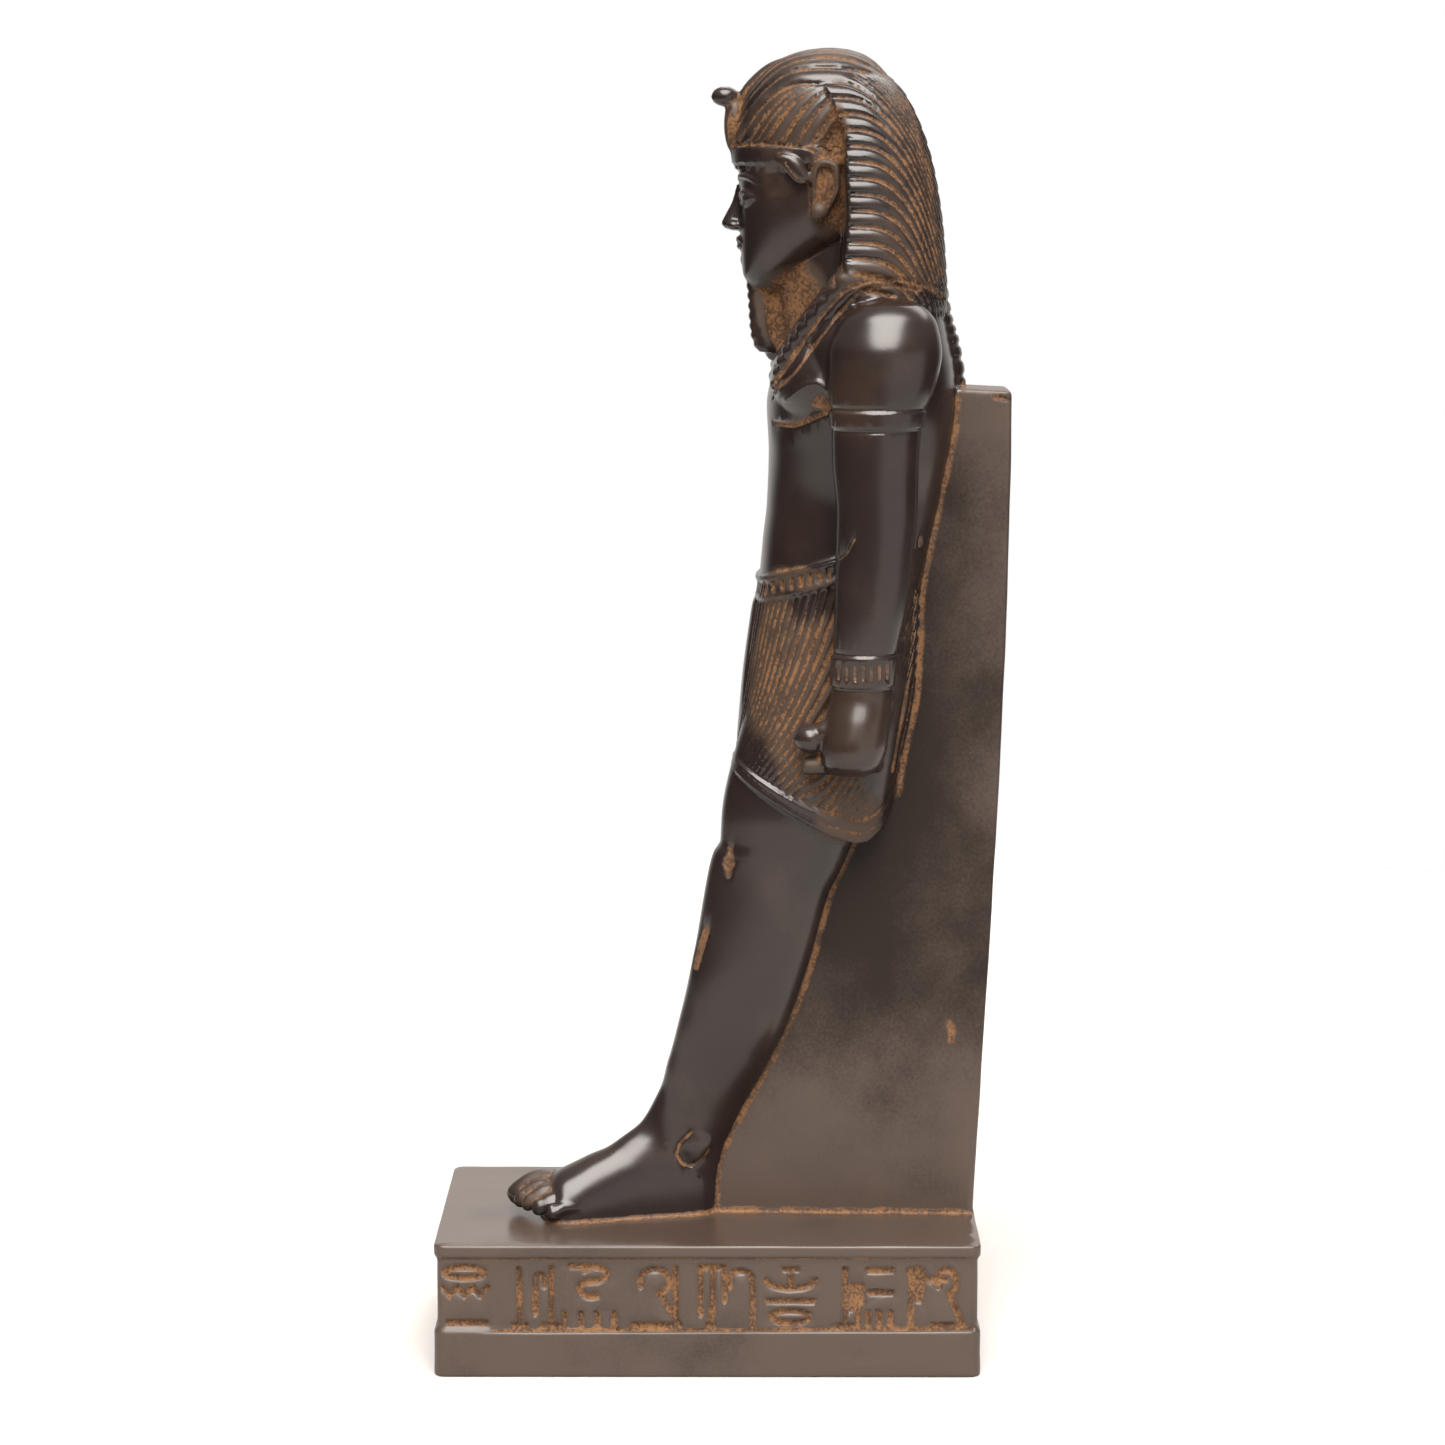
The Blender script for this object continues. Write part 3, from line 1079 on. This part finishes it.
def agePatina(carver, made):
    co, mesh = carver.co, made.data
    count = len(co)
    edges = gathered(mesh.edges, "vertices", 2, np.int64)
    normal = gathered(mesh.vertices, "normal", 3)
    fine = spread(co, edges, count, 5)
    broad = spread(fine, edges, count, skin["cavityRounds"])
    fineCavity = ((fine - co) * normal).sum(axis=1)
    broadCavity = ((broad - co) * normal).sum(axis=1)
    upper = np.nonzero(co[:, 2] > cloth["heights"][0])[0]
    carver.rub[upper] = np.maximum(carver.rub[upper], stripeBrown(*co[upper].T))
    onSlab, onPlinth = besideBlocks(co, normal)
    shares = spread(np.stack([np.maximum(onSlab, onPlinth), onPlinth], axis=1), edges, count,
                    patina["creaseSpread"])
    crease = np.clip(4 * shares * (1 - shares), 0, 1).max(axis=1)
    place = np.zeros(count)
    mirrored = np.stack([np.abs(co[:, 0]), co[:, 1], co[:, 2]], axis=1)
    for centre, radii, strength in patina["places"]:
        place = np.maximum(place, strength * blobField(mirrored, centre, radii))
    behind = step(co[:, 1], 27.5, 36.0) * step(co[:, 2], 178.0, 184.0)
    place = np.maximum(place, patina["clothBack"] * behind)
    onFigure = 1 - np.maximum(onSlab, onPlinth)
    ofFine, ofBroad, ofCrease, ofRub, ofPlace = patina["weights"]
    rust = np.clip(fineCavity / patina["fineDepth"], -0.5, 1) * ofFine
    rust += np.clip(broadCavity / patina["broadDepth"], -0.3, 1) * ofBroad
    rust *= 0.35 + 0.65 * np.minimum(place, 1)
    rust += crease * ofCrease + carver.rub * ofRub + place * ofPlace * onFigure
    rust = spread(rust[:, None], edges, count, 1)[:, 0]
    tint = np.clip(place * 0.9, 0, 1) * onFigure
    satin = np.clip(shares[:, 0] * 1.6 - 0.4, 0, 1)
    for name, field in (("rust", rust), ("tint", tint), ("satin", satin)):
        layer = mesh.attributes.new(name, "FLOAT", "POINT")
        layer.data.foreach_set("value", field.astype(np.float32))
    filmed = co + normal * patina["film"] * np.clip(rust, 0, 1)[:, None]
    mesh.vertices.foreach_set("co", filmed.ravel())
    mesh.update()


def thinned(made):
    thin = made.modifiers.new("thin", "DECIMATE")
    thin.ratio = min(1.0, skin["triangles"] / (2 * len(made.data.polygons)))
    thin.use_collapse_triangulate = True
    made = settled(made, "pharaohStatue")
    co, normal = (gathered(made.data.vertices, name, 3) for name in ("co", "normal"))
    rust = gathered(made.data.attributes["rust"].data, "value", 1)
    co = co - normal * patina["film"] * np.clip(rust, 0, 1)
    co[:, 2] = np.maximum(co[:, 2], -plinthTop)
    made.data.vertices.foreach_set("co", co.ravel())
    made.data.transform(Matrix.Translation((0, 0, plinthTop * mm)) @ Matrix.Scale(mm, 4))
    made.data.shade_smooth()
    made.data.update()
    print("thinned:", len(made.data.polygons), "triangles")
    return made


finish = {
    "stone": (0.014, 0.0088, 0.0080, 1),
    "stoneWarm": (0.026, 0.0155, 0.0115, 1),
    "satinStone": (0.055, 0.037, 0.028, 1),
    "satinDark": (0.015, 0.0095, 0.0075, 1),
    "brownStone": (0.040, 0.021, 0.011, 1),
    "rust": (0.150, 0.072, 0.028, 1),
    "rustDark": (0.050, 0.023, 0.010, 1),
    # roughness of the polished stone, its browned places, the slab and plinth, the plinth's top, the brown
    "gloss": 0.22,
    "tinted": 0.60,
    "satin": 0.40,
    "plinthTop": 0.20,
    "dull": 0.85,
    "sheen": (0.5, 0.2),  # specular level of the figure and of the slab's darkest parts
    "bump": (0.3, 0.0002),  # strength and distance in metres
}


def node(tree, kind, place, **settings):
    made = tree.nodes.new(kind)
    made.location = place
    for key, value in settings.items():
        setattr(made, key, value)
    return made


def noise(tree, coordinates, scale, detail, place):
    made = node(tree, "ShaderNodeTexNoise", place)
    made.inputs["Scale"].default_value = scale
    made.inputs["Detail"].default_value = detail
    tree.links.new(coordinates, made.inputs["Vector"])
    return made.outputs["Fac"]


def ranged(tree, value, low, high, toLow, toHigh, place):
    made = node(tree, "ShaderNodeMapRange", place)
    made.interpolation_type = "SMOOTHSTEP"
    for name, number in (("From Min", low), ("From Max", high), ("To Min", toLow), ("To Max", toHigh)):
        made.inputs[name].default_value = number
    tree.links.new(value, made.inputs["Value"])
    return made.outputs["Result"]


def summed(tree, a, b, place, factor=1.0):
    made = node(tree, "ShaderNodeMath", place, operation="MULTIPLY_ADD")
    tree.links.new(b, made.inputs[0])
    made.inputs[1].default_value = factor
    tree.links.new(a, made.inputs[2])
    return made.outputs[0]


def calculated(tree, operation, a, b, place):
    made = node(tree, "ShaderNodeMath", place, operation=operation)
    for socket, value in zip(made.inputs, (a, b)):
        if isinstance(value, float):
            socket.default_value = value
        elif value is not None:
            tree.links.new(value, socket)
    return made.outputs[0]


def blended(tree, factor, a, b, place):
    made = node(tree, "ShaderNodeMix", place, data_type="RGBA")
    tree.links.new(factor, made.inputs[0])
    for socket, value in ((made.inputs[6], a), (made.inputs[7], b)):
        if isinstance(value, tuple):
            socket.default_value = value
        else:
            tree.links.new(value, socket)
    return made.outputs[2]


def agedStone():
    material = bpy.data.materials.new("agedStone")
    material.use_nodes = True
    tree = material.node_tree
    shader = tree.nodes["Principled BSDF"]
    where = node(tree, "ShaderNodeTexCoord", (-1800, 0)).outputs["Object"]
    rust = node(tree, "ShaderNodeAttribute", (-1800, 300), attribute_name="rust").outputs["Fac"]
    tint = node(tree, "ShaderNodeAttribute", (-1800, 150), attribute_name="tint").outputs["Fac"]
    satin = node(tree, "ShaderNodeAttribute", (-1800, -300), attribute_name="satin").outputs["Fac"]
    coarse = noise(tree, where, 260, 5, (-1600, 600))
    grainy = noise(tree, where, 1700, 4, (-1600, 400))
    cloudy = noise(tree, where, 55, 4, (-1600, 200))
    patchy = summed(tree, summed(tree, rust, coarse, (-1400, 400), 0.55), grainy, (-1250, 400), 0.35)
    mask = ranged(tree, patchy, 0.82, 1.22, 0, 1, (-1100, 400))
    plain = blended(tree, ranged(tree, cloudy, 0.45, 0.7, 0, 1, (-1200, 100)), finish["stone"],
                    finish["stoneWarm"], (-1000, 100))
    # the slab's sides are darkest a little above the middle
    rise = node(tree, "ShaderNodeSeparateXYZ", (-1600, -100))
    tree.links.new(where, rise.inputs[0])
    low = ranged(tree, rise.outputs["Z"], 0.02, 0.10, 0, 1, (-1400, -100))
    high = ranged(tree, rise.outputs["Z"], 0.13, 0.19, 0, -0.45, (-1400, -250))
    deep = summed(tree, summed(tree, low, high, (-1250, -150)), cloudy, (-1150, -150), 1.5)
    deep = summed(tree, deep, grainy, (-1050, -150), 0.5)
    rear = calculated(tree, "MULTIPLY", ranged(tree, rise.outputs["Y"], 0.036, 0.056, 0, 1, (-1400, -700)),
                      ranged(tree, rise.outputs["Z"], 0.06, 0.11, 0, 1, (-1400, -900)), (-1200, -800))
    deep = summed(tree, deep, rear, (-1000, -200), -0.55)
    deep = ranged(tree, deep, 0.9, 2.0, 0, 1, (-1200, -100))
    flat = blended(tree, deep, finish["satinStone"], finish["satinDark"], (-1000, -100))
    worn = calculated(tree, "MULTIPLY", satin, deep, (-800, -800))
    sheen = ranged(tree, worn, 0, 1, *finish["sheen"], (-600, -800))
    tree.links.new(sheen, shader.inputs["Specular IOR Level"])
    ground = blended(tree, satin, plain, flat, (-800, 100))
    browned = ranged(tree, summed(tree, tint, coarse, (-1200, 250), 0.8), 0.55, 1.25, 0, 0.9, (-1000, 250))
    ground = blended(tree, browned, ground, finish["brownStone"], (-600, 150))
    earth = ranged(tree, summed(tree, grainy, coarse, (-1200, 700), 0.7), 0.7, 1.0, 0, 1, (-1000, 700))
    earth = blended(tree, earth, finish["rustDark"], finish["rust"], (-700, 500))
    tree.links.new(blended(tree, mask, ground, earth, (-400, 200)), shader.inputs["Base Color"])
    rough = ranged(tree, satin, 0, 1, finish["gloss"], finish["satin"], (-800, -300))
    level = plinthTop * mm
    top = calculated(tree, "MULTIPLY",
                     ranged(tree, rise.outputs["Z"], level - 0.0004, level - 0.0002, 0, 1, (-1000, -450)),
                     ranged(tree, rise.outputs["Z"], level + 0.0004, level + 0.0001, 0, 1, (-1000, -600)),
                     (-800, -450))
    rough = summed(tree, rough, top, (-700, -350), finish["plinthTop"] - finish["satin"])
    rough = summed(tree, rough, browned, (-600, -300), finish["tinted"] - finish["gloss"])
    rough = summed(tree, rough, mask, (-450, -300), finish["dull"] - finish["satin"])
    tree.links.new(summed(tree, rough, cloudy, (-300, -300), 0.06), shader.inputs["Roughness"])
    bump = node(tree, "ShaderNodeBump", (-250, -550))
    for name, value in zip(("Strength", "Distance"), finish["bump"]):
        bump.inputs[name].default_value = value
    height = node(tree, "ShaderNodeMath", (-400, -550), operation="MULTIPLY")
    tree.links.new(grainy, height.inputs[0])
    tree.links.new(ranged(tree, mask, 0, 1, 0.10, 1.0, (-600, -600)), height.inputs[1])
    tree.links.new(height.outputs[0], bump.inputs["Height"])
    tree.links.new(bump.outputs["Normal"], shader.inputs["Normal"])
    return material


statue = oneSkin()
easeJoints(statue)
carver = Carver(statue.data)
carveBand(carver)
carveFigure(carver)
carveTicks(carver)
carver.wobble(easing["wobble"])
carver.apply()
print("carved")
agePatina(carver, statue)
print("patina laid")
statue = thinned(statue)
statue.data.materials.clear()
statue.data.materials.append(agedStone())
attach(statue, "root")
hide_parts("pharaoh_statue")

studio = {
    "floor": (0.50, 0.49, 0.48, 1),
    "tableRadius": 0.55,
    "skyLow": 0.06,
    "skyHigh": 0.5,
    "panels": [
        # soft boxes overhead: middle and half size over the height, and brightness
        ((1.15, 0.0), (0.92, 0.46), 14.0),
        ((-0.9, 0.5), (0.45, 0.70), 4.0),
    ],
    "panelEdge": 0.08,
    "backdrop": 0.9,  # the pale wall behind the table
    "sideWall": 1.1,  # the pale wall behind the camera and to its right
    "warmth": (1.0, 0.95, 0.90, 1.0),
    "cameraPlace": (0.7708, 0.0051, 0.2339),
    "cameraPitch": 8.30,
    "cameraYaw": -0.17,
    "focalPixels": 4035,
    "imagePixels": 1445,
}


def paleFloor():
    bm = bmesh.new()
    bmesh.ops.create_circle(bm, cap_ends=True, segments=128, radius=studio["tableRadius"])
    made = meshObject("floor", bm)
    material = bpy.data.materials.new("paleFloor")
    material.use_nodes = True
    shader = material.node_tree.nodes["Principled BSDF"]
    shader.inputs["Base Color"].default_value = studio["floor"]
    shader.inputs["Roughness"].default_value = 0.9
    made.data.materials.append(material)
    return made


def softLight():
    # a dim room with a white floor, lit by large soft boxes overhead
    world = bpy.data.worlds.new("studio")
    world.use_nodes = True
    tree = world.node_tree
    heading = node(tree, "ShaderNodeTexCoord", (-1500, 0)).outputs["Generated"]
    parts = node(tree, "ShaderNodeSeparateXYZ", (-1300, 0))
    tree.links.new(heading, parts.inputs[0])
    rise = calculated(tree, "MAXIMUM", parts.outputs["Z"], 0.02, (-1100, -200))
    total = ranged(tree, parts.outputs["Z"], 0.0, 0.95, studio["skyLow"], studio["skyHigh"], (-500, 200))
    for number, (middle, half, bright) in enumerate(studio["panels"]):
        inside = None
        for axis, centre, reach in zip("XY", middle, half):
            slope = calculated(tree, "DIVIDE", parts.outputs[axis], rise, (-900, -200 * number))
            off = calculated(tree, "SUBTRACT", slope, centre, (-750, 0))
            off = calculated(tree, "ABSOLUTE", off, None, (-600, 0))
            soft = studio["panelEdge"]
            near = ranged(tree, off, reach - soft, reach + soft, 1, 0, (-450, 0))
            inside = near if inside is None else calculated(tree, "MULTIPLY", inside, near, (-300, 0))
        above = calculated(tree, "GREATER_THAN", parts.outputs["Z"], 0.03, (-300, -200))
        inside = calculated(tree, "MULTIPLY", inside, above, (-200, 0))
        total = summed(tree, total, inside, (-100, 0), bright)
    wall = calculated(tree, "MULTIPLY", ranged(tree, parts.outputs["X"], -0.55, -0.9, 0, 1, (-450, 500)),
                      ranged(tree, parts.outputs["Z"], 0.7, 0.4, 0, 1, (-450, 700)), (-250, 600))
    total = summed(tree, total, wall, (-100, 100), studio["backdrop"])
    side = calculated(tree, "MULTIPLY", ranged(tree, parts.outputs["Y"], 0.0, 0.22, 0, 1, (-450, 900)),
                      ranged(tree, parts.outputs["X"], 0.15, 0.45, 0, 1, (-450, 1100)), (-250, 1000))
    low = ranged(tree, parts.outputs["Z"], 0.32, 0.12, 0, 1, (-450, 1300))
    side = calculated(tree, "MULTIPLY", side, low, (-150, 1000))
    total = summed(tree, total, side, (0, 100), studio["sideWall"])
    seen = node(tree, "ShaderNodeLightPath", (-100, 300)).outputs["Is Camera Ray"]
    whole = node(tree, "ShaderNodeMix", (100, 150))
    tree.links.new(seen, whole.inputs[0])
    tree.links.new(total, whole.inputs[2])
    whole.inputs[3].default_value = 1.0
    background = tree.nodes["Background"]
    tree.links.new(blended(tree, seen, studio["warmth"], (1.0, 1.0, 1.0, 1.0), (100, 350)),
                   background.inputs["Color"])
    tree.links.new(whole.outputs[0], background.inputs["Strength"])
    bpy.context.scene.world = world


def photoCamera():
    data = bpy.data.cameras.new("photoCamera")
    data.sensor_width = 36.0
    data.lens = 36.0 * studio["focalPixels"] / studio["imagePixels"]
    data.clip_start = 0.01
    made = bpy.data.objects.new("photoCamera", data)
    pitch, yaw = math.radians(studio["cameraPitch"]), math.radians(studio["cameraYaw"])
    forward = Vector((-math.cos(pitch) * math.cos(yaw), math.cos(pitch) * math.sin(yaw), -math.sin(pitch)))
    made.location = studio["cameraPlace"]
    made.rotation_euler = forward.to_track_quat("-Z", "Y").to_euler()
    bpy.context.scene.collection.objects.link(made)
    bpy.context.scene.camera = made


paleFloor()
softLight()
photoCamera()
bpy.context.scene.view_settings.view_transform = "Standard"
print("studio set")
